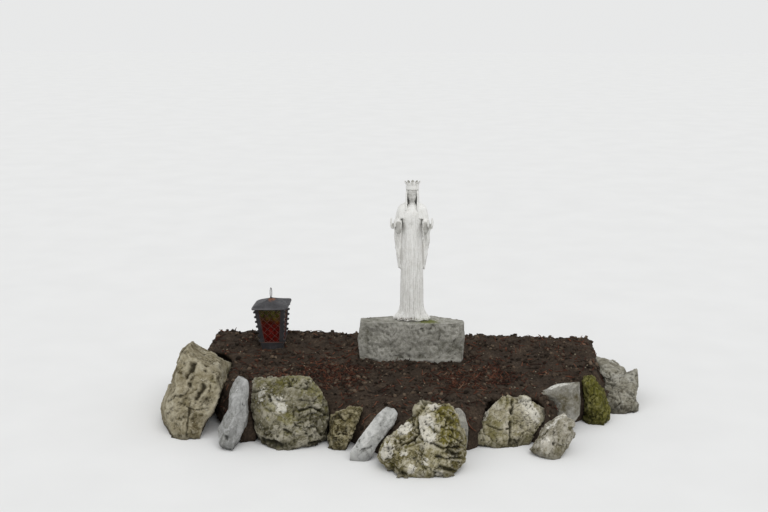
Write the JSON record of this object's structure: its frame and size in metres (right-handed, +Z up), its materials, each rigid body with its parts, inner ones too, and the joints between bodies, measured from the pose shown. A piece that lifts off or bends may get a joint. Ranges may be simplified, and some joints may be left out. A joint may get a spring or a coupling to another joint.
{
  "type": "wayside shrine",
  "caption": "Wayside shrine: a crowned, veiled cast figure on a hewn block in a raised soil bed edged with rough stones, with a small candle lantern beside it.",
  "frame": {"origin": "on the ground under the figure's axis", "axes": "+X to the viewer's right along the wall, +Y towards the wall behind the bed, +Z up; the front faces -Y"},
  "size_m": [1.9955, 1.1352, 0.9528],
  "materials": {
    "cast_stone": "weathered",
    "hewn_stone": "rough",
    "rough_limestone": "rough",
    "grey_limestone": "rough",
    "soil": "matte",
    "sheet_metal": "satin",
    "yellow_glass": "gloss",
    "red_plastic": "gloss"
  },
  "bodies": {
    "root": {"figure": "cast_stone", "plinth_block": "hewn_stone", "soil_bed": "soil", "left_slab": "rough_limestone", "grey_upright": "grey_limestone", "big_boulder": "rough_limestone", "knob_stone": "rough_limestone", "grey_leaner": "grey_limestone", "front_boulder": "rough_limestone", "grey_behind": "grey_limestone", "cracked_boulder": "rough_limestone", "round_boulder": "rough_limestone", "grey_point": "grey_limestone", "mossy_stone": "rough_limestone", "right_slab": "rough_limestone", "lantern_base": "sheet_metal", "lantern_frame": "sheet_metal", "lantern_front_pane": "yellow_glass", "lantern_right_pane": "yellow_glass", "lantern_back_pane": "yellow_glass", "lantern_left_pane": "yellow_glass", "lantern_front_lattice": "sheet_metal", "lantern_right_lattice": "sheet_metal", "lantern_back_lattice": "sheet_metal", "lantern_left_lattice": "sheet_metal", "lantern_roof": "sheet_metal", "lantern_loop": "sheet_metal", "candle": "red_plastic"}
  },
  "joints": []
}
